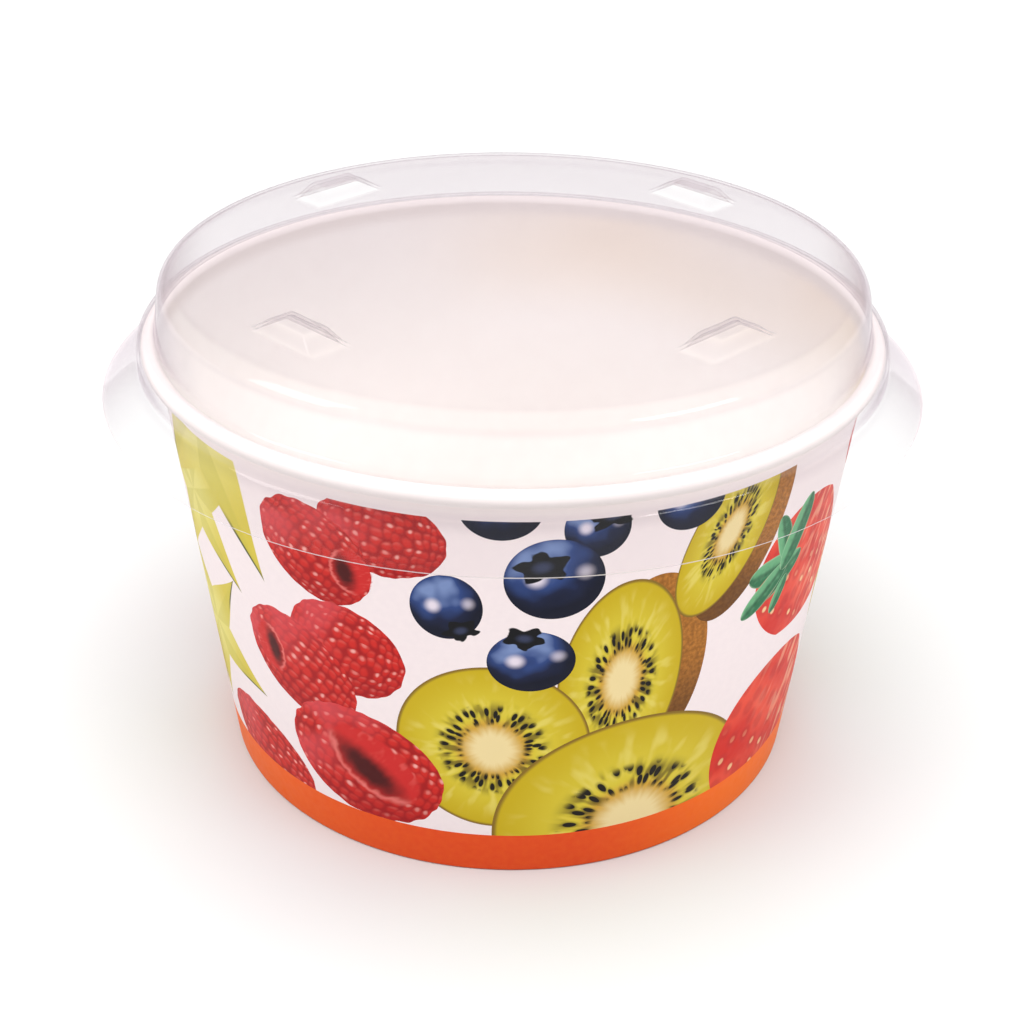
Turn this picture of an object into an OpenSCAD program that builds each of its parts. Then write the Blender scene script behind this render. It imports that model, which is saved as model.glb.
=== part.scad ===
// Round paperboard bowl with a rolled rim and a clear press-on lid.
// The axis is +Z, and the foot stands on z = 0.

/* [Bowl] */
// Outside diameter of the rolled rim
rim_d = 112.4; // [100:0.1:130]
// Outside diameter of the wall where it meets the table
foot_d = 92.4; // [84:0.1:100]
// Height of the bowl, from the table to the top of the rolled rim
bowl_h = 69.8; // [50:0.1:95]
// Thickness of the wall's board
board_t = 0.45; // [0.35:0.05:0.55]
// Outside diameter of the rolled rim's section
curl_d = 2.6; // [2.2:0.1:3.4]
// How far the rim is rolled, from the wall round to the cut edge, in degrees
curl_turn = 290; // [260:5:300]

/* [Foot and base] */
// Height of the bowl's floor above the table
floor_h = 7.4; // [6.5:0.1:12]
// Room between the tip of the wall's folded-in edge and the bend of the base disc
fold_gap = 0.6; // [0.3:0.1:2]
// Rounding of the fold where it meets the table
fold_r = 0.4; // [0.2:0.05:0.5]
// Thickness of the base disc's board
disc_t = 0.4; // [0.3:0.05:0.5]
// Outside radius of the bend between the base disc and its flange
disc_bend_r = 0.9; // [0.7:0.05:1.2]
// Film of sealing coat between two layers of board
seal_t = 0.05; // [0.03:0.01:0.1]

/* [Side seam] */
// Width of the lap where the wall's two ends overlap, at the rim
seam_w = 8; // [5:0.5:12]
// How far the lap's outer layer stops short of the rolled rim
seam_stop = 0.6; // [0.4:0.1:2]

/* [Lid crown] */
// Thickness of the lid's sheet
lid_t = 0.4; // [0.3:0.05:0.5]
// Height of the lid's panel above its ledge
crown_h = 8.8; // [6:0.1:14]
// Draft of the crown wall from upright, in degrees
crown_draft = 8; // [4:1:20]
// Outside radius of the shoulder between the panel and the crown wall
shoulder_r = 2.8; // [1.5:0.1:3.5]
// Width of the ledge, from the foot of the crown wall to the outside of the rolled rim
ledge_w = 2.1; // [1.7:0.1:3]
// Radius of the corner between the crown wall and the ledge
ledge_r = 0.7; // [0.5:0.1:1]

/* [Lid bead and skirt] */
// Clearance between the ledge and the top of the rolled rim
seat_clear = 0.12; // [0.05:0.01:0.3]
// Clearance between the bead and the outside of the rolled rim
grip_clear = 0.2; // [0.1:0.05:0.4]
// Radius of the bead over the rolled rim
bead_r = 1.5; // [1.2:0.1:1.9]
// Height of the bead, from the ledge down to the root of the skirt
bead_h = 4.3; // [3.6:0.1:6]
// Radius of the corner between the bead and the skirt
skirt_r = 1; // [0.6:0.1:1.5]
// How far the skirt stands out from the bead
skirt_out = 5.6; // [2:0.1:7]
// How far the skirt drops below the bead
skirt_drop = 4.2; // [2:0.1:7]

/* [Stacking lugs] */
// Number of lugs round the panel
lug_n = 4; // [3:1:6]
// Height of a lug above the panel
lug_h = 2; // [1.2:0.1:3]
// Length of a lug along the radius, at the panel
lug_l = 6.2; // [5:0.1:9]
// Width of a lug across the radius, at the panel
lug_w = 13; // [10:0.5:18]
// Slope of a lug's ends from upright, in degrees
lug_end_slope = 53; // [30:1:60]
// Slope of a lug's inner and outer face from upright, in degrees
lug_face_slope = 28; // [10:1:35]
// Clearance between the lugs and the inside of the foot of a bowl stacked on the lid
lug_clear = 0.5; // [0.3:0.1:1]

/* [Hidden] */
$fn = 180;
// Step along a rounded corner and along the rolled rim, in degrees
arc_step = 15;
// Direction of the side seam, at the back of the bowl, in degrees
seam_dir = 90;
// Direction of the first lug, in degrees
lug_dir = 45;

// Radii and centre of the rolled rim
rim_r = rim_d / 2;
foot_r = foot_d / 2;
curl_r = curl_d / 2;
curl_c = [rim_r - curl_r, bowl_h - curl_r];

// Lean of the wall: the line from the foot that touches the inside of the roll
foot_to_curl = curl_c - [foot_r, 0];
wall_lean = atan2(foot_to_curl.x, foot_to_curl.y) - asin((curl_r - board_t) / norm(foot_to_curl));

// Depths of the layers at the foot, measured inwards from the wall's outer face
flange_out = board_t + seal_t;
flange_in = flange_out + disc_t;
fold_out = flange_in + seal_t;
fold_in = fold_out + board_t;

// Height of the tip of the wall's folded-in edge
fold_h = floor_h - disc_bend_r - fold_gap;

// Heights and radii of the lid
ledge_z = bowl_h + seat_clear + lid_t;
panel_z = ledge_z + crown_h;
crown_foot_r = rim_r - ledge_w;
crown_top_r = crown_foot_r - crown_h * tan(crown_draft);
bead_out_r = rim_r + grip_clear + lid_t;
skirt_root_z = ledge_z - bead_h;

// Outer reach of the lugs, inside the foot of a stacked bowl
lug_out_r = wall_r(fold_in, 0) - lug_clear;

// Radius at height z of the cone that lies a depth inwards from the wall's outer face
function wall_r(depth, z) = foot_r - depth / cos(wall_lean) + z * tan(wall_lean);

// Point on a circle about c
function polar(c, r, a) = c + r * [cos(a), sin(a)];

// Points along an arc about c from angle a to angle b
function arc(c, r, a, b) =
    let (steps = ceil(abs(b - a) / arc_step))
    [for (i = [0 : steps]) polar(c, r, a + (b - a) * i / steps)];

function unit(v) = v / norm(v);
function left_of(v) = [-v.y, v.x];
function cross2(a, b) = a.x * b.y - a.y * b.x;

// Corner q between points p and s, rounded to radius r
function rounded(p, q, s, r) =
    let (
        u = unit(q - p),
        w = unit(s - q),
        side = sign(cross2(u, w)),
        turn = acos(u * w),
        c = q - u * r * tan(turn / 2) + left_of(u) * r * side,
        start = atan2(-left_of(u).y * side, -left_of(u).x * side)
    )
    arc(c, r, start, start + side * turn);

// Line through corners, each rounded to its own radius; the two ends stay sharp
function rounded_line(corners, radii) = concat(
    [corners[0]],
    [for (i = [1 : len(corners) - 2])
        each rounded(corners[i - 1], corners[i], corners[i + 1], radii[i - 1])],
    [corners[len(corners) - 1]]);

// Line moved sideways by t, to the right of its direction
function beside(line, t) =
    let (last = len(line) - 1)
    [for (i = [0 : last])
        let (
            before = unit(line[max(i, 1)] - line[max(i, 1) - 1]),
            after = unit(line[min(i, last - 1) + 1] - line[min(i, last - 1)]),
            n = unit(left_of(before) + left_of(after))
        )
        line[i] - n * t / (n * left_of(before))];

function reversed(line) = [for (i = [len(line) - 1 : -1 : 0]) line[i]];

// Section of the wall: its two faces, from the cut edge of the roll down to the tip of the fold
module wall_section() {
    top = 180 - wall_lean;
    wall_top = polar(curl_c, curl_r - board_t, top);
    foot_edge = [wall_r(0, 0), 0];
    fold_edge = [wall_r(fold_in, 0), 0];
    fold_tip = [wall_r(fold_in, fold_h), fold_h];
    printed_face = concat(
        arc(curl_c, curl_r - board_t, top - curl_turn, top),
        rounded(wall_top, foot_edge, fold_edge, fold_r),
        rounded(foot_edge, fold_edge, fold_tip, fold_r),
        [fold_tip]);
    food_face = concat(
        [
            [wall_r(fold_out, fold_h), fold_h],
            [wall_r(fold_out, board_t), board_t],
            [wall_r(board_t, board_t), board_t]
        ],
        arc(curl_c, curl_r, top, top - curl_turn));
    polygon(concat(printed_face, food_face));
}

// Section of the lap's outer layer, which lies on the wall and runs down to the table
module seam_section() {
    seam_top = curl_c.y - curl_r - seam_stop;
    polygon([
        [wall_r(board_t / 2, fold_r), fold_r],
        [wall_r(-board_t, fold_r), fold_r],
        [wall_r(-board_t, seam_top), seam_top],
        [wall_r(board_t / 2, seam_top), seam_top]
    ]);
}

module side_wall() {
    seam_angle = seam_w / rim_r * 180 / PI;
    color("white") {
        rotate_extrude() wall_section();
        rotate([0, 0, seam_dir - seam_angle / 2])
            rotate_extrude(angle = seam_angle) seam_section();
    }
}

// Section of the base: a flat disc whose edge is bent down between the wall and the fold
module base_section() {
    flange_z = board_t + seal_t;
    upper_face = rounded_line(
        [
            [0, floor_h],
            [wall_r(flange_out, floor_h), floor_h],
            [wall_r(flange_out, flange_z), flange_z]
        ],
        [disc_bend_r]);
    polygon(concat(upper_face, reversed(beside(upper_face, disc_t))));
}

module base_disc() {
    color("ivory") rotate_extrude() base_section();
}

// Section of the lid's sheet, from the axis out to the edge of the skirt
module lid_section() {
    outer_face = rounded_line(
        [
            [0, panel_z],
            [crown_top_r, panel_z],
            [crown_foot_r, ledge_z],
            [bead_out_r, ledge_z],
            [bead_out_r, skirt_root_z],
            [bead_out_r + skirt_out, skirt_root_z - skirt_drop]
        ],
        [shoulder_r, ledge_r, bead_r, skirt_r]);
    polygon(concat(outer_face, reversed(beside(outer_face, lid_t))));
}

// Block with sloping faces on the panel; inset moves every face inwards, for the hollow side of the sheet
module lug(inset) {
    top = lug_h - inset;
    bottom = -lid_t - inset;
    face_run = tan(lug_face_slope);
    end_run = tan(lug_end_slope);
    face_inset = inset / cos(lug_face_slope);
    end_inset = inset / cos(lug_end_slope);
    in_r = lug_out_r - lug_l + face_inset;
    out_r = lug_out_r - face_inset;
    half_w = lug_w / 2 - end_inset;
    intersection() {
        rotate([90, 0, 0])
            linear_extrude(height = lug_w, center = true)
            polygon([
                [in_r, bottom],
                [out_r, bottom],
                [out_r, 0],
                [out_r - (top * face_run), top],
                [in_r + (top * face_run), top],
                [in_r, 0]
            ]);
        rotate([90, 0, 90])
            linear_extrude(height = rim_r)
            polygon([
                [-half_w, bottom],
                [half_w, bottom],
                [half_w, 0],
                [half_w - top * end_run, top],
                [-half_w + top * end_run, top],
                [-half_w, 0]
            ]);
    }
}

module lugs(inset) {
    for (i = [0 : lug_n - 1])
        rotate([0, 0, lug_dir + i * 360 / lug_n])
            translate([0, 0, panel_z])
            lug(inset);
}

module lid() {
    color("aliceblue", 0.4)
        difference() {
            union() {
                rotate_extrude() lid_section();
                lugs(0);
            }
            lugs(lid_t);
        }
}

side_wall();
base_disc();
lid();
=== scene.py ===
"""Dresses the paper bowl: the printed wall, the base disc, the clear lid, a floor, light and the camera.

Shapes are worked out in millimetres and put into metres by put_in_mesh. Angles round the bowl
start at the front, on -Y, and grow towards +X.
"""

import math

import bpy
import numpy as np
from mathutils import Matrix, Vector


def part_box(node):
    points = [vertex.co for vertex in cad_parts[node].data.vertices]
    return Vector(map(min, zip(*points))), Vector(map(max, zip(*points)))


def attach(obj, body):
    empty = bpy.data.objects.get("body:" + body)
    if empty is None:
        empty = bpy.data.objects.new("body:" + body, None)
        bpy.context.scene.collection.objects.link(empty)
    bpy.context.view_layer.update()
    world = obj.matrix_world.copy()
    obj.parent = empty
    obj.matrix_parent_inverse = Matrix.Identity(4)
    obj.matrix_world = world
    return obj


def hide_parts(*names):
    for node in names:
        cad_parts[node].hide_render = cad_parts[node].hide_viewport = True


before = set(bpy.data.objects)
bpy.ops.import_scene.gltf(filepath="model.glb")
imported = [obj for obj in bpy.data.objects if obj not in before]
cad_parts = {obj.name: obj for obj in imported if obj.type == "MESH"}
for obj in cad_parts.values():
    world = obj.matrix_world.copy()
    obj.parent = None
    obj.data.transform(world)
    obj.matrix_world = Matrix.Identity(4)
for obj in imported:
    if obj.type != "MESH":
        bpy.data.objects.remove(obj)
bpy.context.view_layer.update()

MM = 0.001

# Bowl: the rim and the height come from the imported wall, the rest from the part's source
wall_top_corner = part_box("side_wall")[1]
RIM_R = wall_top_corner.x / MM
BOWL_H = wall_top_corner.z / MM
FOOT_R = 46.2
BOARD_T = 0.45
CURL_R = 1.3
CURL_TURN = math.radians(290)
DISC_T = 0.4
SEAL_T = 0.05
FOLD_R = 0.4
FOLD_H = 5.9
BASE_Z = 7.4
SEAM_W = 8.0
SEAM_STOP = 0.6

# Finer than the solid: the smooth rise on one side of the lap, its cut edges, and the wall's steps
SEAM_RISE = 1.8
SEAM_CUT = 0.05
HALF_STEP = math.radians(0.5)
WALL_STEPS = 8
ROLL_INSIDE_STEPS = 30
ROLL_OUTSIDE_STEPS = 44
RISE_ANGLES = 7
LAP_ANGLES = 5
LAP_ROOM = 1.5

# The print comes twice round the wall, and each repeat is painted in sectors
HALF_REPEAT = math.pi / 2
SECTORS = 4
SECTOR_TURN = 2 * HALF_REPEAT / SECTORS
SECTOR_MARGIN = 3.0

CURL_C = np.array([RIM_R - CURL_R, BOWL_H - CURL_R])
FOOT_TO_CURL = CURL_C - np.array([FOOT_R, 0.0])
LEAN = math.atan2(*FOOT_TO_CURL) - math.asin((CURL_R - BOARD_T) / np.hypot(*FOOT_TO_CURL))
FOLD_OUT = BOARD_T + SEAL_T + DISC_T + SEAL_T
FOLD_IN = FOLD_OUT + BOARD_T
SEAM_HALF = SEAM_W / RIM_R / 2

# Lid: the panel and the skirt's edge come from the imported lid, the rest from the part's source
lid_low, lid_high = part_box("lid")
LID_T = 0.4
LUG_H = 2.0
LUG_L = 6.2
LUG_W = 13.0
LUG_N = 4
LUG_DIR = math.radians(45)
LUG_END_SLOPE = math.radians(53)
LUG_FACE_SLOPE = math.radians(28)
LUG_CLEAR = 0.5
PANEL_Z = lid_high.z / MM - LUG_H
CROWN_H = 8.8
CROWN_DRAFT = math.radians(8)
SHOULDER_R = 2.8
LEDGE_W = 2.1
LEDGE_R = 0.7
BEAD_R = 1.5
BEAD_H = 4.3
SKIRT_R = 1.0
SKIRT_OUT = 5.6
GRIP_CLEAR = 0.2

# Finer than the solid: the lugs' rounded edges, the dull lines along the bends, and the lid's steps
LUG_ROUND = 0.14
LUG_FAR = 6.0
LUG_LEAST = 0.001
LUG_MARGIN = 0.9
LUG_DULL = 0.7
BEND_LINE = 0.5
PANEL_RINGS = (3.0, 12.0, 22.0, 31.0)
LUG_RINGS = 37
OUTER_RINGS = (47.5, 49.0)
CROWN_STEPS = 12
BEAD_STEPS = 3
SKIRT_STEPS = 5
NEAR_LUG = math.radians(12)
LUG_ANGLES = 55
BETWEEN_ANGLES = 34

LEDGE_Z = PANEL_Z - CROWN_H
CROWN_FOOT_R = RIM_R - LEDGE_W
CROWN_TOP_R = CROWN_FOOT_R - CROWN_H * math.tan(CROWN_DRAFT)
BEAD_OUT_R = RIM_R + GRIP_CLEAR + LID_T
SKIRT_ROOT_Z = LEDGE_Z - BEAD_H
SKIRT_EDGE_Z = lid_low.z / MM
LUG_OUT_R = FOOT_R - FOLD_IN / math.cos(LEAN) - LUG_CLEAR


# Shapes


def wall_r(depth, z):
    """Radius of the cone that lies a depth inwards from the wall's outer face, at height z."""
    return FOOT_R - depth / math.cos(LEAN) + z * math.tan(LEAN)


def arc(centre, radius, start, end, steps):
    """Points on a circle: centre plus radius times (cos, sin) of even angles from start to end."""
    turn = np.linspace(start, end, steps + 1)
    return np.asarray(centre) + radius * np.column_stack([np.cos(turn), np.sin(turn)])


def rounded(before, corner, after, radius, steps=8):
    """Arc that stands for a corner: it touches both sides and turns from one to the other."""
    before, corner, after = (np.asarray(p, float) for p in (before, corner, after))
    u = (corner - before) / np.linalg.norm(corner - before)
    w = (after - corner) / np.linalg.norm(after - corner)
    side = np.sign(u[0] * w[1] - u[1] * w[0])
    turn = math.acos(np.clip(u @ w, -1, 1))
    left = np.array([-u[1], u[0]]) * side
    centre = corner - u * radius * math.tan(turn / 2) + left * radius
    start = math.atan2(-left[1], -left[0])
    return arc(centre, radius, start, start + side * turn, steps)


def straight(start, end, steps):
    """Points between two ends, without the ends, at even steps."""
    share = np.linspace(0, 1, steps + 1)[1:-1, None]
    return np.asarray(start) * (1 - share) + np.asarray(end) * share


def beside(line, gap):
    """Line moved to the right of its direction by a gap, along the mean of its neighbours' normals."""
    step = np.diff(line, axis=0)
    step /= np.linalg.norm(step, axis=1)[:, None]
    before = np.vstack([step[:1], step])
    after = np.vstack([step, step[-1:]])
    normal = np.column_stack([-(before + after)[:, 1], (before + after)[:, 0]])
    normal /= np.linalg.norm(normal, axis=1)[:, None]
    reach = normal[:, 0] * -before[:, 1] + normal[:, 1] * before[:, 0]
    return line - normal * (gap / reach)[:, None]


def turned(profile, angles):
    """Grid of a profile (radius, height) turned about +Z: x = r sin a, y = -r cos a, one row per angle."""
    radius, height = profile[..., 0], profile[..., 1]
    if radius.ndim == 1:
        radius, height = (np.broadcast_to(v, (len(angles), len(v))) for v in (radius, height))
    around = angles[:, None]
    return np.stack([radius * np.sin(around), -radius * np.cos(around), height], axis=-1)


def grid_faces(rows, columns, closed):
    """Quads of a grid whose rows close on themselves, and whose columns do so if closed."""
    row = np.arange(rows)[:, None]
    column = np.arange(columns if closed else columns - 1)[None, :]
    next_row = (row + 1) % rows
    next_column = (column + 1) % columns
    corners = np.broadcast_arrays(
        row * columns + column,
        next_row * columns + column,
        next_row * columns + next_column,
        row * columns + next_column,
    )
    return np.stack(corners, axis=-1).reshape(-1, 4)


def put_in_mesh(name, points, faces, crease):
    """Smooth mesh object from points in millimetres, sharp where faces meet over the crease angle."""
    mesh = bpy.data.meshes.new(name)
    mesh.from_pydata((np.asarray(points) * MM).tolist(), [], faces)
    mesh.shade_smooth()
    mesh.set_sharp_from_angle(angle=math.radians(crease))
    piece = bpy.data.objects.new(name, mesh)
    bpy.context.scene.collection.objects.link(piece)
    return piece


def make_wall():
    """The wall's strip of board: its section, from the tip of the fold under the foot, up the printed face,
    round the roll and down the food face, turned about the axis. At the back the printed face steps out
    by one board over the lap: a smooth rise on one side and a cut edge on the other."""
    top = math.pi - LEAN
    wall_end = CURL_C + (CURL_R - BOARD_T) * np.array([math.cos(top), math.sin(top)])
    foot_edge = (wall_r(0, 0), 0.0)
    fold_edge = (wall_r(FOLD_IN, 0), 0.0)
    fold_tip = (wall_r(FOLD_IN, FOLD_H), FOLD_H)
    lap_low = FOLD_R + SEAM_CUT
    lap_high = CURL_C[1] - CURL_R - SEAM_STOP
    lap_rows = [lap_low, *np.linspace(lap_low + SEAM_CUT, lap_high - SEAM_CUT, WALL_STEPS), lap_high]
    face = np.array([(wall_r(0, z), z) for z in lap_rows])
    foot = np.vstack([
        [fold_tip],
        rounded(fold_tip, fold_edge, foot_edge, FOLD_R),
        rounded(fold_edge, foot_edge, wall_end, FOLD_R),
    ])
    roll_inside = arc(CURL_C, CURL_R - BOARD_T, top, top - CURL_TURN, ROLL_INSIDE_STEPS)
    roll_outside = arc(CURL_C, CURL_R, top - CURL_TURN, top, ROLL_OUTSIDE_STEPS)
    inside_end = (wall_r(BOARD_T, BOARD_T), BOARD_T)
    inner = np.vstack([
        straight(roll_outside[-1], inside_end, WALL_STEPS),
        [inside_end],
        [(wall_r(FOLD_OUT, BOARD_T), BOARD_T)],
        [(wall_r(FOLD_OUT, FOLD_H), FOLD_H)],
    ])
    profile = np.vstack([foot, face, roll_inside, roll_outside, inner])
    printed_rows = len(foot) + len(face) + len(roll_inside)
    lap_column = np.zeros(len(profile))
    lap_column[len(foot) + 1 : len(foot) + len(face) - 1] = BOARD_T / math.cos(LEAN)

    even = np.arange(-math.pi, math.pi, 2 * HALF_STEP)
    even = even[np.abs(even) < math.pi - LAP_ROOM * SEAM_HALF]
    rise = np.linspace(-SEAM_HALF, -SEAM_HALF + SEAM_RISE / RIM_R, RISE_ANGLES)
    flat = np.linspace(rise[-1], SEAM_HALF - SEAM_CUT / RIM_R, LAP_ANGLES)[1:]
    around_lap = math.pi + np.concatenate([rise, flat, [SEAM_HALF]])
    angles = np.concatenate([even, around_lap])
    share = np.clip((angles - math.pi + SEAM_HALF) * RIM_R / SEAM_RISE, 0, 1)
    lap_row = share * share * (3 - 2 * share)
    lap_row[-1] = 0.0

    section = np.broadcast_to(profile, (len(angles), *profile.shape)).copy()
    section[..., 0] += lap_row[:, None] * lap_column[None, :]
    points = turned(section, angles)
    faces = grid_faces(len(angles), len(profile), closed=True)
    piece = put_in_mesh("printed_wall", points.reshape(-1, 3), faces, crease=40)

    row, column = np.divmod(np.arange(len(faces)), len(profile))
    on_cut = (row == len(angles) - 2) & (lap_column[column] > 0)
    printed = (column < printed_rows - 1) & ~on_cut
    sector = np.floor((angles + HALF_STEP + HALF_REPEAT) % (2 * HALF_REPEAT) / SECTOR_TURN)
    slots = np.where(printed, sector[row], SECTORS)
    piece.data.polygons.foreach_set("material_index", slots.astype(np.int32))
    return piece


def lug_rise(x, y, inset):
    """Height of the stacking lugs above the panel: in each lug's own axes the lowest of the flat top and the
    four sloping faces, all moved in by inset, with a soft minimum that rounds the edges."""
    face_run, end_run = math.tan(LUG_FACE_SLOPE), math.tan(LUG_END_SLOPE)
    face_inset, end_inset = inset / math.cos(LUG_FACE_SLOPE), inset / math.cos(LUG_END_SLOPE)
    turns = LUG_DIR + np.arange(LUG_N) * 2 * math.pi / LUG_N
    along = x[..., None] * np.cos(turns) + y[..., None] * np.sin(turns)
    across = np.abs(y[..., None] * np.cos(turns) - x[..., None] * np.sin(turns))
    sides = np.stack([
        np.full_like(along, LUG_H - inset),
        (LUG_OUT_R - face_inset - along) / face_run,
        (along - LUG_OUT_R + LUG_L - face_inset) / face_run,
        (LUG_W / 2 - end_inset - across) / end_run,
    ])
    lowest = -LUG_ROUND * np.log(np.exp(-np.clip(sides, -LUG_FAR, LUG_FAR) / LUG_ROUND).sum(0))
    return lowest.max(-1)


def make_lid():
    """The lid's sheet: its outer profile, from the middle of the panel over the shoulder, ledge and bead to
    the skirt's edge, and the same line one sheet lower, turned about the axis. The lugs lift both faces."""
    shoulder = (CROWN_TOP_R, PANEL_Z)
    crown_foot = (CROWN_FOOT_R, LEDGE_Z)
    bead_corner = (BEAD_OUT_R, LEDGE_Z)
    skirt_root = (BEAD_OUT_R, SKIRT_ROOT_Z)
    skirt_edge = (BEAD_OUT_R + SKIRT_OUT, SKIRT_EDGE_Z)
    lug_in = LUG_OUT_R - LUG_L - LUG_MARGIN
    lug_out = math.hypot(LUG_OUT_R, LUG_W / 2) + LUG_MARGIN
    panel_r = np.concatenate([PANEL_RINGS, np.linspace(lug_in, lug_out, LUG_RINGS), OUTER_RINGS])
    panel = np.column_stack([panel_r, np.full(len(panel_r), PANEL_Z)])
    crown = rounded((0, PANEL_Z), shoulder, crown_foot, SHOULDER_R, CROWN_STEPS)
    ledge = rounded(shoulder, crown_foot, bead_corner, LEDGE_R)
    bead = rounded(crown_foot, bead_corner, skirt_root, BEAD_R, CROWN_STEPS)
    root = rounded(bead_corner, skirt_root, skirt_edge, SKIRT_R)
    outer = np.vstack([
        panel,
        crown,
        straight(crown[-1], ledge[0], CROWN_STEPS),
        ledge,
        bead,
        straight(bead[-1], root[0], BEAD_STEPS),
        root,
        straight(root[-1], skirt_edge, SKIRT_STEPS),
        [skirt_edge],
    ])
    profile = np.vstack([beside(outer, LID_T), outer[::-1]])

    quarter = 2 * math.pi / LUG_N
    fine = np.linspace(-NEAR_LUG, NEAR_LUG, LUG_ANGLES)
    coarse = np.linspace(NEAR_LUG, quarter - NEAR_LUG, BETWEEN_ANGLES)[1:-1]
    one_quarter = np.concatenate([fine, coarse])
    first_lug = LUG_DIR + math.pi / 2
    angles = (first_lug + quarter * np.arange(LUG_N)[:, None] + one_quarter).ravel()

    grid = turned(profile, angles)
    x, y = grid[..., 0], grid[..., 1]
    under = np.arange(len(profile)) < len(outer)
    on_panel = (profile[:, 0] < lug_out + LUG_MARGIN) & (profile[:, 1] > LEDGE_Z + CROWN_H / 2)
    low = lug_rise(x, y, LID_T) + LID_T
    high = lug_rise(x, y, 0.0)
    rise = np.where(under[None, :], low, high)
    soft = LUG_ROUND * np.logaddexp(0, rise / LUG_ROUND)
    grid[..., 2] += np.where(on_panel[None, :] & (soft > LUG_LEAST), soft, 0)

    bends = np.array([crown[1], crown[-1], bead[0], root[0], root[-1]])
    off = np.linalg.norm(profile[:, None, :] - bends[None, :, :], axis=2).min(1)
    line = np.broadcast_to(np.exp(-((off / BEND_LINE) ** 2)), rise.shape)
    share = np.where(on_panel[None, :], np.clip(soft / LUG_H, 0, 1), 0)
    bend = np.maximum(line, LUG_DULL * 4 * share * (1 - share))

    rows, columns = len(angles), len(profile)
    faces = grid_faces(rows, columns, closed=False)
    points = grid.reshape(-1, 3)
    first = np.arange(rows) * columns
    following = np.roll(first, -1)
    pole_under, pole_over = len(points), len(points) + 1
    points = np.vstack([points, [(0, 0, PANEL_Z - LID_T)], [(0, 0, PANEL_Z)]])
    fan_under = np.column_stack([np.full(rows, pole_under), following, first])
    fan_over = np.column_stack([np.full(rows, pole_over), first + columns - 1, following + columns - 1])
    all_faces = faces.tolist() + fan_under.tolist() + fan_over.tolist()
    piece = put_in_mesh("clear_lid", points, all_faces, crease=50)

    column = np.arange(len(faces)) % (columns - 1)
    at_edge = column == len(outer) - 1
    flag = piece.data.attributes.new("cut_edge", "FLOAT", "FACE")
    flag.data.foreach_set("value", np.concatenate([at_edge, np.zeros(2 * rows)]).astype(np.float32))
    mark = piece.data.attributes.new("bend", "FLOAT", "POINT")
    mark.data.foreach_set("value", np.append(bend.ravel(), [0, 0]).astype(np.float32))
    return piece


# Shader maths


class Wire:
    """One socket of a shader. Sums on wires add Math nodes, and node() adds any other node."""

    def __init__(self, tree, socket=None):
        self.tree = tree
        self.socket = socket

    def node(self, kind, sockets, out=0, **settings):
        """Adds a node: its settings first, then a value or a link for each socket. Gives one output."""
        made = self.tree.nodes.new("ShaderNode" + kind)
        stops = settings.pop("stops", ())
        for name, value in settings.items():
            setattr(made, name, value)
        for i, (place, colour) in enumerate(stops):
            ramp = made.color_ramp.elements
            stop = ramp[i] if i < len(ramp) else ramp.new(place)
            stop.position = place
            stop.color = colour
        for name, value in sockets.items():
            if isinstance(value, Wire):
                self.tree.links.new(value.socket, made.inputs[name])
            else:
                made.inputs[name].default_value = value
        return Wire(self.tree, made.outputs[out])

    def also(self, out):
        """Another output of the node that this wire comes from."""
        return Wire(self.tree, self.socket.node.outputs[out])

    def math(self, operation, *others):
        """A Math node on this wire and others."""
        return self.node("Math", dict(enumerate((self, *others))), operation=operation)

    def __add__(self, other):
        return self.math("ADD", other)

    __radd__ = __add__

    def __sub__(self, other):
        return self.math("SUBTRACT", other)

    def __rsub__(self, other):
        return self.node("Math", {0: other, 1: self}, operation="SUBTRACT")

    def __mul__(self, other):
        return self.math("MULTIPLY", other)

    __rmul__ = __mul__

    def __truediv__(self, other):
        return self.math("DIVIDE", other)

    def __rtruediv__(self, other):
        return self.node("Math", {0: other, 1: self}, operation="DIVIDE")

    def __neg__(self):
        return self * -1.0

    def __lt__(self, other):
        return self.math("LESS_THAN", other)

    def __gt__(self, other):
        return self.math("GREATER_THAN", other)

    def ramp(self, low, high):
        """Smooth step: 0 at low, 1 at high, where high may be the smaller."""
        ends = {"Value": self, "From Min": low, "From Max": high}
        return self.node("MapRange", ends, interpolation_type="SMOOTHSTEP")

    def vector(self, operation, *others, out=0):
        """A Vector Math node on this wire and others."""
        sockets = dict(enumerate((self, *others)))
        return self.node("VectorMath", sockets, out, operation=operation)

    def parts(self):
        """The three parts of a vector or a colour."""
        x = self.node("SeparateXYZ", {0: self})
        return x, x.also(1), x.also(2)


def ink(red, green, blue):
    """Shader colour of a print colour given as 0 to 255."""
    part = np.array([red, green, blue]) / 255
    linear = np.where(part <= 0.04045, part / 12.92, ((part + 0.055) / 1.055) ** 2.4)
    return (*linear.tolist(), 1.0)


def blend(wire, cover, below, above):
    """Colour above laid over colour below where cover is 1; either may be a plain ink."""
    return wire.node("Mix", {0: cover, 6: below, 7: above}, 2, data_type="RGBA")


def new_material(name):
    """Empty material with its output node. Gives the material, a loose wire in its tree and the output."""
    material = bpy.data.materials.new(name)
    material.use_nodes = True
    material.node_tree.nodes.clear()
    start = Wire(material.node_tree)
    output = material.node_tree.nodes.new("ShaderNodeOutputMaterial")
    return material, start, output


def show(start, output, shader):
    """Puts a shader on the material's surface."""
    start.tree.links.new(shader.socket, output.inputs["Surface"])


# The print, as fields of colour on the unrolled wall

PRINT_TOP = 64.4
MARGIN_FADE = 2.5
BAND_TOP = 7.4
RASPBERRY_CELLS = 3.9
STRAWBERRY_CELLS = 4.6

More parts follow.
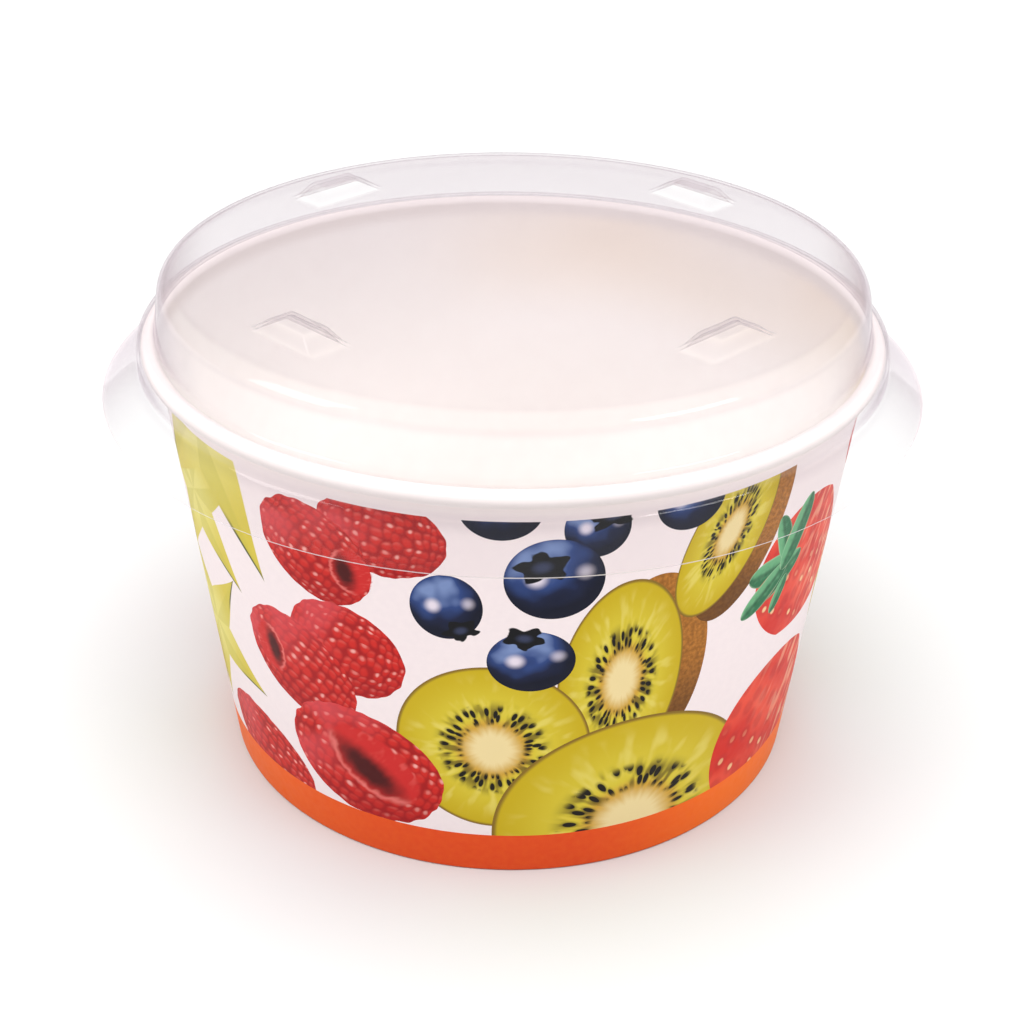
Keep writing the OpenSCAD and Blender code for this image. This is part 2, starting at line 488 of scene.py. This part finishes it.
# Each fruit: middle as distance round the wall from the front and height, half length and half width, tilt
STARS = [
    ((-57.3, 27.3), (17.5, 17.5), -20),
    ((-57.0, 52.5), (18.0, 18.0), -45),
    ((-51.0, 68.6), (26.9, 26.9), -61),
]
KIWI_SKINS = [
    ((20.2, 37.3), (9.0, 16.4), -5),
    ((34.8, 56.2), (6.6, 14.6), -26),
    ((70.9, 30.2), (6.2, 10.4), 6),
]
KIWIS = [
    ((31.6, 57.6), (6.5, 14.2), -26),
    ((15.9, 36.0), (9.2, 17.6), -5),
    ((-2.2, 24.6), (14.0, 15.3), 12),
    ((19.0, 8.0), (21.3, 20.3), 0),
    ((-66.5, 16.5), (7.4, 9.6), 0),
    ((68.0, 30.5), (6.4, 10.6), 6),
]
STRAWBERRIES = [
    ((51.7, 43.3), (14.0, 12.5), -30),
    ((48.3, 12.6), (15.2, 15.6), -35),
]
LEAVES = [
    ((43.2, 44.6), (6.2, 2.2), 25),
    ((41.0, 46.9), (4.6, 2.3), 2),
    ((40.4, 43.6), (5.8, 2.0), 35),
    ((43.6, 51.6), (4.8, 1.8), 108),
    ((46.8, 51.4), (6.4, 2.3), 62),
    ((43.9, 41.4), (3.4, 1.2), 62),
]
RASPBERRIES = [
    ((-42.4, 10.0), (11.6, 6.8), -22),
    ((-17.6, 60.2), (9.3, 6.6), -8),
    ((-28.2, 54.6), (9.8, 7.3), -32),
    ((-24.0, 38.6), (9.6, 7.8), -20),
    ((-32.6, 32.4), (11.0, 7.8), -32),
    ((-22.0, 17.4), (13.0, 10.0), -20),
    ((71.8, 57.5), (7.8, 6.4), -20),
]
HOLLOWS = [
    ((-22.2, 52.9), (4.0, 3.4), -75),
    ((-38.2, 33.2), (4.6, 3.0), 105),
    ((-20.2, 17.8), (9.0, 5.6), -38),
]
BLUEBERRIES = [
    ((-1.3, 66.4), (5.6, 5.0), 0),
    ((11.4, 62.9), (4.5, 4.7), 0),
    ((5.9, 54.9), (6.8, 6.6), 0),
    ((-8.6, 49.8), (5.0, 5.4), 0),
    ((3.0, 40.9), (6.1, 5.3), 0),
    ((24.6, 65.0), (5.2, 4.8), 0),
    ((71.0, 45.5), (4.8, 4.8), 0),
    ((-71.0, 64.0), (5.0, 5.0), 0),
]
CROWNS = [
    ((13.6, 64.6), (4.2, 2.1), 20),
    ((4.2, 57.0), (4.4, 3.0), 10),
    ((-6.6, 46.0), (3.0, 2.0), 20),
    ((2.0, 45.0), (3.5, 2.2), -5),
    ((72.0, 48.3), (3.0, 1.9), 0),
]


def unrolled(start):
    """The wall laid flat, in millimetres: way round it from the front, within one repeat, and height."""
    place = start.node("TexCoord", {}, "Object")
    x, y, z = place.parts()
    around = x.math("ARCTAN2", -y).math("WRAP", HALF_REPEAT, -HALF_REPEAT)
    height = z * (1 / MM)
    across = around * (height * math.tan(LEAN) + FOOT_R)
    return start.node("CombineXYZ", {0: across, 1: height}), height


def reaching(shapes, sector):
    """The shapes that lie in a sector of the print or close beside it, each with its number in the list."""
    kept = []
    for i, (middle, half, tilt) in enumerate(shapes):
        radius = wall_r(0, middle[1])
        off = abs(middle[0] - ((sector + 0.5) * SECTOR_TURN - HALF_REPEAT) * radius)
        if off < SECTOR_TURN / 2 * radius + max(half) + SECTOR_MARGIN:
            kept.append((i, (middle, half, tilt)))
    return kept


def pick(flat, shapes):
    """Lays numbered ellipses over each other in order. Gives the place in the topmost, 1 at its edge, and
    their cover. The place's third part is the ellipse's number."""
    place = cover = None
    for i, (middle, half, tilt) in shapes:
        sockets = {
            "Vector": flat,
            "Location": (*middle, float(i)),
            "Rotation": (0, 0, math.radians(tilt)),
            "Scale": (*half, 1),
        }
        local = flat.node("Mapping", sockets, vector_type="TEXTURE")
        inside = local.vector("DISTANCE", (0, 0, -float(i)), out="Value") < 1.0
        if place is None:
            place, cover = local, inside
        else:
            place = flat.node("Mix", {0: inside, 4: place, 5: local}, 1, data_type="VECTOR")
            cover = cover.math("MAXIMUM", inside)
    return place, cover


def noise(place, scale, detail=1.0, dimensions="3D"):
    """Soft noise from 0 to 1."""
    sockets = {"Vector": place, "Scale": scale, "Detail": detail}
    return place.node("TexNoise", sockets, "Fac", noise_dimensions=dimensions)


def flat_noise(flat, scale, detail=1.0):
    """Soft noise from 0 to 1 on the wall laid flat."""
    return noise(flat, scale, detail, "2D")


def cells(place, scale, randomness):
    """Cells about scattered points: distance to the nearest point, the way to it, and a chance per cell."""
    sockets = {"Vector": place, "Scale": scale, "Randomness": randomness}
    near = place.node("TexVoronoi", sockets, "Distance", voronoi_dimensions="2D")
    way = place.vector("SUBTRACT", near.also("Position"))
    chance = near.also("Color").parts()[0]
    return near, way, chance


def paint_raspberries(flat, ground, shapes):
    """Small domes, packed closer towards the edge and each lit from above, with a pale bloom at the tip."""
    wobble = (flat_noise(flat, 0.5, 0.0) - 0.5) * 0.55
    off = flat.node("CombineXYZ", {0: wobble, 1: wobble * -1.0})
    place, cover = pick(flat.vector("ADD", off), shapes)
    x, y, seed = place.parts()
    reach = x * x + y * y
    spread = 1.0 + reach * 0.35
    skin = flat.node("CombineXYZ", {0: x * spread * 1.45 + seed * 7.3, 1: y * spread})
    near, way, chance = cells(skin, RASPBERRY_CELLS, 0.5)
    light = way.vector("DOT_PRODUCT", (-0.25, 1.0, 0.0), out="Value") * RASPBERRY_CELLS
    dome = near.ramp(0.66, 0.22)
    colour = blend(flat, dome, ink(164, 18, 20), ink(204, 37, 30))
    lit = light.ramp(-0.05, 0.45) * dome * chance.ramp(-0.2, 1.0) * 0.5
    colour = blend(flat, lit, colour, ink(238, 128, 116))
    glint_way = way.vector("SUBTRACT", (-0.02, 0.06, 0.0))
    glint = glint_way.vector("LENGTH", out="Value").ramp(0.085, 0.02) * chance.ramp(0.65, 0.95)
    colour = blend(flat, glint * 0.6, colour, ink(252, 200, 190))
    shade = (x * 0.5 - y * 0.8).ramp(0.2, 1.05) * 0.45
    colour = blend(flat, shade, colour, ink(140, 12, 22))
    bloom = (y * 0.3 - x).ramp(-0.2, 0.9) * flat_noise(flat, 0.16, 0.0).ramp(0.2, 0.7) * 0.7
    colour = blend(flat, bloom, colour, ink(216, 76, 82))
    return blend(flat, cover, ground, colour)


def paint_hollows(flat, ground, shapes):
    """Openings of picked raspberries: a dark depth beside a pale lip, and a smooth streaked wall beyond."""
    place, cover = pick(flat, shapes)
    x, y, seed = place.parts()
    reach = (x * x + y * y).math("SQRT")
    deep_y = y + 0.28
    depth = (x * x * 0.9 + deep_y * deep_y * 2.2).math("SQRT")
    streaks = noise(flat.node("CombineXYZ", {0: x * 3.4, 1: y * 0.9, 2: seed}), 2.0)
    colour = blend(flat, (depth + streaks * 0.25).ramp(0.4, 1.12), ink(74, 8, 10), ink(204, 40, 38))
    colour = blend(flat, streaks.ramp(0.5, 0.7) * y.ramp(0.1, 0.7) * 0.35, colour, ink(234, 112, 104))
    lip = (reach + streaks * 0.3).ramp(0.88, 1.05) * y.ramp(0.0, -0.4)
    colour = blend(flat, lip * 0.7, colour, ink(236, 130, 122))
    return blend(flat, cover * (reach + streaks * 0.2).ramp(1.1, 0.95), ground, colour)


def paint_blueberries(flat, ground, shapes):
    """Dark balls with a bloom, lit from the upper left, with two soft spots of light."""
    place, cover = pick(flat, shapes)
    x, y = place.parts()[:2]
    reach = x * x + y * y
    front = (1.0 - reach).math("MAXIMUM", 0.0).math("SQRT")
    mottle = noise(place, 1.7) - 0.5
    lit = x * -0.28 + y * 0.62 + front * 0.76 + mottle * 0.7
    stops = [
        (0.0, ink(10, 14, 34)),
        (0.4, ink(22, 30, 60)),
        (0.75, ink(46, 68, 124)),
        (1.0, ink(120, 140, 186)),
    ]
    colour = flat.node("ValToRGB", {0: lit}, stops=stops)
    level = place.vector("MULTIPLY", (1, 1, 0))
    spot = level.vector("DISTANCE", (-0.36, 0.02, 0), out="Value")
    other = level.vector("DISTANCE", (0.6, 0.16, 0), out="Value")
    gleam = spot.ramp(0.3, 0.05).math("MAXIMUM", other.ramp(0.26, 0.02) * 0.6)
    colour = blend(flat, gleam * 0.9, colour, ink(238, 226, 236))
    rim = reach.ramp(0.3, 0.95) * (0.3 - y).ramp(0.0, 0.9)
    colour = blend(flat, rim * 0.85, colour, ink(14, 18, 38))
    return blend(flat, cover, ground, colour)


def paint_crowns(flat, ground, shapes):
    """Jagged dark crowns of the blueberries: a ring of points, black at the tips."""
    place, cover = pick(flat, shapes)
    x, y, seed = place.parts()
    reach = (x * x + y * y).math("SQRT")
    points = (y.math("ARCTAN2", x) * 5.0 + seed * 1.7).math("COSINE")
    edge = points * 0.16 + 0.78 + (noise(place, 3.0, 0.0) - 0.5) * 0.3
    colour = blend(flat, reach.ramp(0.1, 0.45), ink(52, 58, 84), ink(10, 11, 16))
    return blend(flat, cover * (edge - reach).ramp(-0.03, 0.05), ground, colour)


def paint_skins(flat, ground, shapes):
    """Brown hairy skin of the thick kiwi slices, darker towards the lower right."""
    place, cover = pick(flat, shapes)
    y = place.parts()[1]
    fuzz = flat_noise(flat, 1.6, 2.0)
    colour = blend(flat, fuzz.ramp(0.2, 0.85), ink(142, 88, 28), ink(188, 120, 46))
    colour = blend(flat, (0.2 - y).ramp(0.0, 0.9) * 0.75, colour, ink(78, 46, 18))
    return blend(flat, cover, ground, colour)


def paint_kiwis(flat, ground, shapes):
    """Round slices: a thin skin, green flesh with pale rays, a ring of dark seeds and a cream core."""
    place, cover = pick(flat, shapes)
    x, y, seed = place.parts()
    reach = (x * x + y * y).math("SQRT")
    way = place.vector("MULTIPLY", (1, 1, 0)).vector("NORMALIZE")
    way = flat.node("CombineXYZ", {0: seed * 3.0, 2: reach * 0.6}).vector("ADD", way)
    turn = y.math("ARCTAN2", x)
    rays = noise(way, 6.0, 1.5)
    uneven = reach + (rays - 0.5) * 0.1
    colour = blend(flat, reach.ramp(0.45, 1.0), ink(214, 194, 56), ink(198, 170, 22))
    glow = rays.ramp(0.48, 0.72) * reach.ramp(0.4, 0.55) * reach.ramp(0.97, 0.72)
    colour = blend(flat, glow * 0.45, colour, ink(234, 220, 124))
    colour = blend(flat, uneven.ramp(0.44, 0.32), colour, ink(206, 160, 58))
    colour = blend(flat, uneven.ramp(0.34, 0.16), colour, ink(236, 214, 158))
    seeds_at = flat.node("CombineXYZ", {0: turn * 5.1 + seed * 31.7, 1: reach * 7.2})
    off_x, off_y = cells(seeds_at, 1.0, 0.9)[1].parts()[:2]
    seed_reach = (off_x * off_x * 2.6 + off_y * off_y * 1.3).math("SQRT")
    ring = reach.ramp(0.29, 0.36) * reach.ramp(0.58, 0.5)
    murk = rays.ramp(0.55, 0.38) * reach.ramp(0.26, 0.38) * reach.ramp(0.64, 0.46)
    colour = blend(flat, murk * 0.8, colour, ink(96, 80, 24))
    colour = blend(flat, seed_reach.ramp(0.75, 0.35) * ring * 0.55, colour, ink(84, 70, 20))
    colour = blend(flat, seed_reach.ramp(0.46, 0.36) * ring, colour, ink(20, 17, 11))
    colour = blend(flat, reach.ramp(0.955, 0.99), colour, ink(134, 104, 34))
    return blend(flat, cover, ground, colour)


def paint_strawberries(flat, ground, shapes):
    """Red fruit, narrower towards the tip: flesh with pale streaks along it, and seeds in soft dimples."""
    place, cover = pick(flat, shapes)
    x, y, seed = place.parts()
    across = y * (x * 0.45 + 1.0)
    taper = x * x + across * across
    skin = flat.node("CombineXYZ", {0: x + seed * 5.3, 1: y * 0.8})
    near, _, chance = cells(skin, STRAWBERRY_CELLS, 0.6)
    colour = blend(flat, noise(place, 2.0, 0.0).ramp(0.3, 0.7), ink(212, 42, 30), ink(232, 76, 54))
    colour = blend(flat, near.ramp(0.5, 0.2) * 0.35, colour, ink(176, 26, 30))
    seeds = near.ramp(0.2, 0.1) * chance.ramp(0.4, 0.6) * (x * 0.5 - y).ramp(-0.4, 0.4)
    colour = blend(flat, seeds * 0.8, colour, ink(248, 214, 160))
    streaks = noise(place.vector("MULTIPLY", (4.5, 1.1, 1.0)), 2.2)
    pale = streaks.ramp(0.48, 0.66) * (x * 0.7 + y * 0.6).ramp(-0.5, 0.6)
    colour = blend(flat, pale * 0.6, colour, ink(248, 196, 160))
    return blend(flat, cover * taper.ramp(1.02, 0.98), ground, colour)


def paint_leaves(flat, ground, shapes):
    """Blunt narrow leaves, lit along one side, with a pale edge and a soft dark rib."""
    place, cover = pick(flat, shapes)
    x, y = place.parts()[:2]
    aside = y.math("ABSOLUTE")
    width = aside + x.math("ABSOLUTE").math("POWER", 4.0) * 0.8
    lit = (y + flat_noise(flat, 0.8) - 0.5).ramp(-0.5, 0.6)
    colour = blend(flat, lit, ink(38, 108, 70), ink(104, 170, 122))
    colour = blend(flat, aside.ramp(0.3, 0.05) * 0.6, colour, ink(28, 80, 52))
    colour = blend(flat, width.ramp(0.75, 0.95) * 0.5, colour, ink(176, 206, 170))
    return blend(flat, cover * width.ramp(1.0, 0.92), ground, colour)


def paint_stars(flat, ground, shapes):
    """Star fruit slices: five pointed arms, pale in the middle and dark along one side of each tip."""
    place, cover = pick(flat, shapes)
    x, y = place.parts()[:2]
    reach = (x * x + y * y).math("SQRT")
    arm = math.pi / 5
    turn = y.math("ARCTAN2", x).math("WRAP", arm, -arm)
    edge = 1.0 / ((turn.math("ABSOLUTE") / arm).math("POWER", 0.85) * 1.7 + 1.0)
    inside = edge - reach
    colour = blend(flat, reach.ramp(0.15, 0.7), ink(226, 214, 116), ink(212, 192, 66))
    colour = blend(flat, turn.ramp(0.03, -0.03) * 0.35, colour, ink(190, 178, 52))
    tip = inside.ramp(0.075, 0.03) * reach.ramp(0.5, 0.75) * turn.ramp(0.02, -0.01)
    colour = blend(flat, tip, colour, ink(66, 72, 32))
    return blend(flat, cover * inside.ramp(-0.005, 0.01), ground, colour)


PRINT = [
    *[(paint_stars, [star]) for star in STARS],
    (paint_skins, KIWI_SKINS),
    (paint_kiwis, KIWIS),
    (paint_strawberries, STRAWBERRIES),
    (paint_leaves, LEAVES),
    (paint_raspberries, RASPBERRIES),
    (paint_hollows, HOLLOWS),
    (paint_blueberries, BLUEBERRIES),
    (paint_crowns, CROWNS),
]


def coated(start, output, colour):
    """Finish of the coated board: a dull gloss broken by a fine grain."""
    grain = noise(start.node("TexCoord", {}, "Object"), 900.0, 0.0)
    bump = start.node("Bump", {"Height": grain, "Strength": 0.12, "Distance": 0.0001}, "Normal")
    surface = {
        "Base Color": colour,
        "Roughness": grain * 0.12 + 0.42,
        "Normal": bump,
        "Specular IOR Level": 0.16,
    }
    show(start, output, start.node("BsdfPrincipled", surface))


def printed_board(sector):
    """Coated board with one sector of the print: fruit on a pale ground, a clear margin at the top that
    fades to a lighter ink as painted light against the shade under the roll, and a band at the foot with
    painted light that makes it paler and yellower towards the sides, redder in the middle."""
    material, start, output = new_material(f"printed_board_{sector + 1}")
    flat, height = unrolled(start)
    fibre = flat_noise(flat, 0.9, 2.0)
    colour = blend(flat, fibre, ink(240, 226, 227), ink(245, 231, 231))
    ground = colour
    for paint, shapes in PRINT:
        here = reaching(shapes, sector)
        if here:
            colour = paint(flat, colour, here)
    # Above the print the board is unprinted and fades to a lighter ink: painted light that offsets the shade
    # under the roll
    margin = blend(flat, height.ramp(PRINT_TOP, PRINT_TOP + MARGIN_FADE), ground, ink(255, 243, 240))
    colour = blend(flat, height > PRINT_TOP, colour, margin)
    across = flat.parts()[0]
    # Painted light: the band turns paler and yellower towards the left and right, where the side light falls
    # on it
    right = across.ramp(8.0, 42.0)
    left = across.ramp(-8.0, -55.0) * 0.7 + across.ramp(-50.0, -72.0) * 0.3
    band = blend(flat, right + left, ink(224, 68, 22), ink(250, 112, 14))
    band = blend(flat, fibre * 0.2, band, ink(252, 130, 44))
    colour = blend(flat, height < BAND_TOP, colour, band)
    coated(start, output, colour)
    return material


def plain_board():
    """Plain white board of the food face, the base and the cut edges, uneven, with painted shade in three
    places:
    a darker cream on the base, where the top light falls full on it, a warm patchy shade towards the rim on
    the right, and a little darker on the roll."""
    material, start, output = new_material("plain_board")
    place = start.node("TexCoord", {}, "Object")
    x, _, z = place.parts()
    across, height = x * (1 / MM), z * (1 / MM)
    fibre = noise(place, 400.0, 0.0)
    colour = blend(start, fibre, ink(252, 246, 245), ink(255, 250, 249))
    # Painted shade: a warmer, darker patch near the top of the right-hand half, broken up by noise
    warm_painted_shade = height.ramp(46.0, 65.0) * across.ramp(-25.0, 10.0) * noise(place, 32.0, 0.0).ramp(0.1, 0.7)
    colour = blend(start, warm_painted_shade, colour, ink(247, 230, 213))
    # Painted shade: the base gets a darker cream, which holds back the full top light that falls on it
    colour = blend(start, height.ramp(BASE_Z + 2.5, BASE_Z + 0.2), colour, ink(230, 223, 215))
    # Painted shade: the roll is a little darker, which holds back the strong top light on it
    rim = height.ramp(BOWL_H - 3 * CURL_R, BOWL_H - CURL_R)
    colour = blend(start, rim, colour, ink(236, 227, 225))
    coated(start, output, colour)
    return material


def clear_sheet():
    """Clear plastic sheet: what is behind shows through, dusky where the sheet is bent, dusky and veiled
    by a thin haze where it is seen at a slant, with a pale cut edge and a gloss."""
    material, start, output = new_material("clear_sheet")
    slant = start.node("LayerWeight", {"Blend": 0.5}, "Facing")
    cut_edge = start.node("Attribute", {}, "Fac", attribute_name="cut_edge")
    bend = start.node("Attribute", {}, "Fac", attribute_name="bend")
    clear = start.node("BsdfTransparent", {"Color": (0.998, 0.995, 0.996, 1)})
    dusky = start.node("BsdfTransparent", {"Color": (0.62, 0.575, 0.625, 1)})
    dusk = slant.math("POWER", 6.0).math("MAXIMUM", bend * 0.12)
    through = start.node("MixShader", {0: dusk, 1: clear, 2: dusky})
    haze = start.node("BsdfDiffuse", {"Color": ink(199, 184, 191)})
    veiled = start.node("MixShader", {0: slant.ramp(0.5, 0.95) * 0.35, 1: through, 2: haze})
    edge = start.node("BsdfDiffuse", {"Color": ink(240, 234, 237)})
    body = start.node("MixShader", {0: cut_edge * 0.65, 1: veiled, 2: edge})
    gloss = start.node("BsdfGlossy", {"Color": (1, 1, 1, 1), "Roughness": 0.05})
    mirror = slant.math("POWER", 5.0) * 0.6 + 0.025
    show(start, output, start.node("MixShader", {0: mirror, 1: body, 2: gloss}))
    return material


def floor_paint():
    """Pale matt floor with a barely uneven tone."""
    material, start, output = new_material("floor_paint")
    place = start.node("TexCoord", {}, "Object")
    tone = noise(place, 3.0)
    darker = start.node("BsdfDiffuse", {"Color": ink(204, 204, 204)})
    lighter = start.node("BsdfDiffuse", {"Color": ink(207, 207, 207)})
    show(start, output, start.node("MixShader", {0: tone, 1: darker, 2: lighter}))
    return material


# The object

white = plain_board()

wall = make_wall()
for sector in range(SECTORS):
    wall.data.materials.append(printed_board(sector))
wall.data.materials.append(white)
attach(wall, "bowl")
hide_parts("side_wall")

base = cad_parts["base_disc"]
base.data.materials.clear()
base.data.materials.append(white)

lid = make_lid()
lid.data.materials.append(clear_sheet())
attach(lid, "lid")
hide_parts("lid")

# The floor, the light and the camera

FLOOR_HALF = 20.0
IMAGE = 1024
LENS_PX = 1760.2
SENSOR = 36.0
CAMERA_AWAY = 286.0
CAMERA_UP = math.radians(29.59)
CAMERA_AIM = 35.47
CAMERA_ROLL = math.radians(0.706)
SHIFT_PX = -0.885

# Lamps: places in millimetres, sizes in metres
LIT_POINT = (0, 0, 40)
SKY_STRENGTH = 0.35
TOP_PLACE = (0, -40, 500)
TOP_POWER = 4.3
TOP_SPREAD = math.radians(70)
LEFT_PLACE = (-400, -160, 280)
LEFT_POWER = 0.45
LEFT_SIZE = 0.24
RIGHT_PLACE = (400, -300, 300)
RIGHT_POWER = 0.5
RIGHT_SHAPE = {"shape": "RECTANGLE", "size": 0.3, "size_y": 0.12}


def make_floor():
    """Flat square under the bowl, on z = 0."""
    corners = np.array([(-1, -1), (1, -1), (1, 1), (-1, 1)]) * FLOOR_HALF / MM
    points = np.column_stack([corners, np.zeros(4)])
    piece = put_in_mesh("floor", points, [(0, 1, 2, 3)], crease=30)
    piece.data.materials.append(floor_paint())


def add_lamp(name, kind, place, power, **settings):
    """Lamp at a place in millimetres, turned towards the bowl."""
    lamp = bpy.data.lights.new(name, kind)
    lamp.energy = power
    for setting, value in settings.items():
        setattr(lamp, setting, value)
    made = bpy.data.objects.new(name, lamp)
    made.location = Vector(place) * MM
    made.rotation_euler = (Vector(LIT_POINT) - Vector(place)).to_track_quat("-Z", "Y").to_euler()
    bpy.context.scene.collection.objects.link(made)
    return made


def make_camera():
    """Camera on the photograph's view: it looks along +Y and down, and is rolled a little."""
    lens = bpy.data.cameras.new("camera")
    lens.sensor_width = SENSOR
    lens.sensor_fit = "HORIZONTAL"
    lens.lens = LENS_PX / IMAGE * SENSOR
    lens.shift_x = -SHIFT_PX / IMAGE
    lens.clip_start = 0.01
    made = bpy.data.objects.new("camera", lens)
    aim = Vector((0, 0, CAMERA_AIM)) * MM
    away = Vector((0, -math.cos(CAMERA_UP), math.sin(CAMERA_UP))) * CAMERA_AWAY * MM
    turn = (-away).to_track_quat("-Z", "Y").to_matrix().to_4x4()
    made.matrix_world = Matrix.Translation(aim + away) @ turn @ Matrix.Rotation(CAMERA_ROLL, 4, "Z")
    bpy.context.scene.collection.objects.link(made)
    bpy.context.scene.camera = made


def make_light():
    """Even surroundings, a broad light from above that the gloss doesn't mirror, and soft lamps left and
    right."""
    scene = bpy.context.scene
    scene.world = bpy.data.worlds.new("studio")
    scene.world.use_nodes = True
    sky = scene.world.node_tree.nodes["Background"]
    sky.inputs["Color"].default_value = (1, 1, 1, 1)
    sky.inputs["Strength"].default_value = SKY_STRENGTH
    top = add_lamp("top_light", "SUN", TOP_PLACE, TOP_POWER, angle=TOP_SPREAD)
    top.visible_glossy = False
    add_lamp("left_lamp", "AREA", LEFT_PLACE, LEFT_POWER, size=LEFT_SIZE)
    add_lamp("right_lamp", "AREA", RIGHT_PLACE, RIGHT_POWER, **RIGHT_SHAPE)
    scene.view_settings.view_transform = "Standard"
    scene.cycles.max_bounces = 5
    scene.cycles.diffuse_bounces = 2
    scene.cycles.glossy_bounces = 2
    scene.cycles.transparent_max_bounces = 16


make_floor()
make_light()
make_camera()
